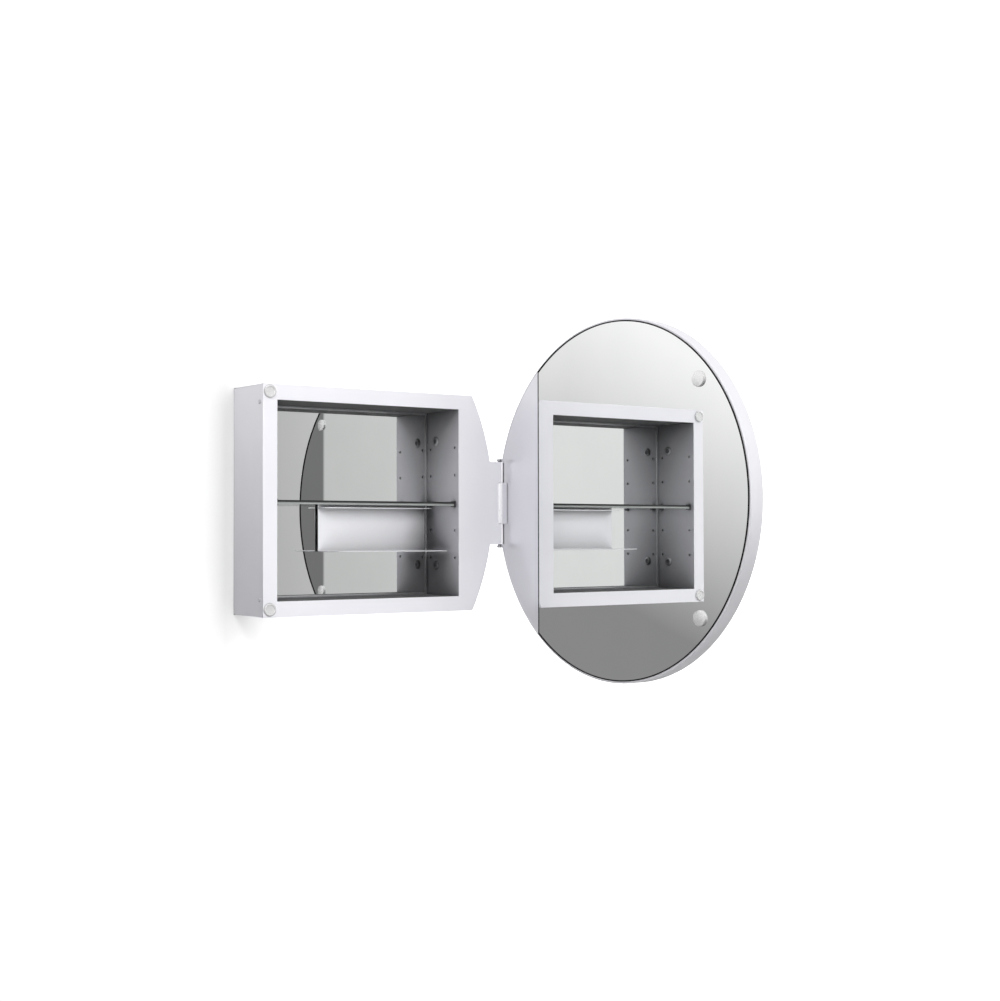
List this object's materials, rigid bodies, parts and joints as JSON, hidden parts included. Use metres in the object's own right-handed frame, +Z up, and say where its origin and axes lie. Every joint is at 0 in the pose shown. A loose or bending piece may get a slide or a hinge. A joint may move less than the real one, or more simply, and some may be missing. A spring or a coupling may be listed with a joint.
{
  "type": "medicine cabinet with mirror",
  "caption": "Wall-hung metal medicine cabinet with a round mirror door on a knuckle hinge, a mirrored back, a glass shelf and a hanging organiser tray.",
  "frame": {"origin": "middle of the back panel's rear face, on the wall", "axes": "+X along the wall toward the hinge side, +Y into the wall, +Z up; the open door points to -Y"},
  "size_m": [0.4523, 0.5733, 0.508],
  "materials": {
    "satin_steel": "satin",
    "liner_steel": "satin",
    "galvanised_steel": "matte zinc",
    "polished_steel": "polished",
    "screw_steel": "plain",
    "white_metal": "satin",
    "mirror": "silvered glass",
    "clear_glass": "clear, ground edges",
    "board": "moisture-proof fibreboard",
    "black_rubber": "matte"
  },
  "bodies": {
    "cabinet": {"face_frame": "satin_steel", "casing_top": "satin_steel", "casing_bottom": "satin_steel", "casing_left": "satin_steel", "casing_right": "satin_steel", "liner_top": "liner_steel", "liner_bottom": "liner_steel", "liner_left": "liner_steel", "liner_right": "liner_steel", "back_panel": "galvanised_steel", "back_mirror": "mirror", "mirror_strip_top": "satin_steel", "mirror_strip_bottom": "satin_steel", "mirror_strip_left": "satin_steel", "mirror_strip_right": "satin_steel", "wall_bracket_left": "galvanised_steel", "wall_bracket_right": "galvanised_steel", "mounting_screws": "screw_steel", "cup_washers": "polished_steel", "casing_screws": "screw_steel", "catch_magnets": "polished_steel", "glass_shelf": "clear_glass", "shelf_clips": "polished_steel", "hinge_pin": "polished_steel"},
    "door": {"door_rim": "satin_steel", "front_mirror": "mirror", "door_core": "board", "inner_mirror": "mirror", "door_gasket": "black_rubber", "hinge_strip": "satin_steel", "strike_discs": "polished_steel"},
    "tray": {"organiser_tray": "white_metal"}
  },
  "joints": [
    {"name": "door_hinge", "type": "hinge", "parent": "cabinet", "child": "door", "pos_m": [0.236, -0.0835, 0], "axis": [0, 0, 1], "range_deg": [-90.5, 79.5]},
    {"name": "tray_slide", "type": "slide", "parent": "cabinet", "child": "tray", "axis": [1, 0, 0], "range_m": [-0.104, 0]}
  ]
}
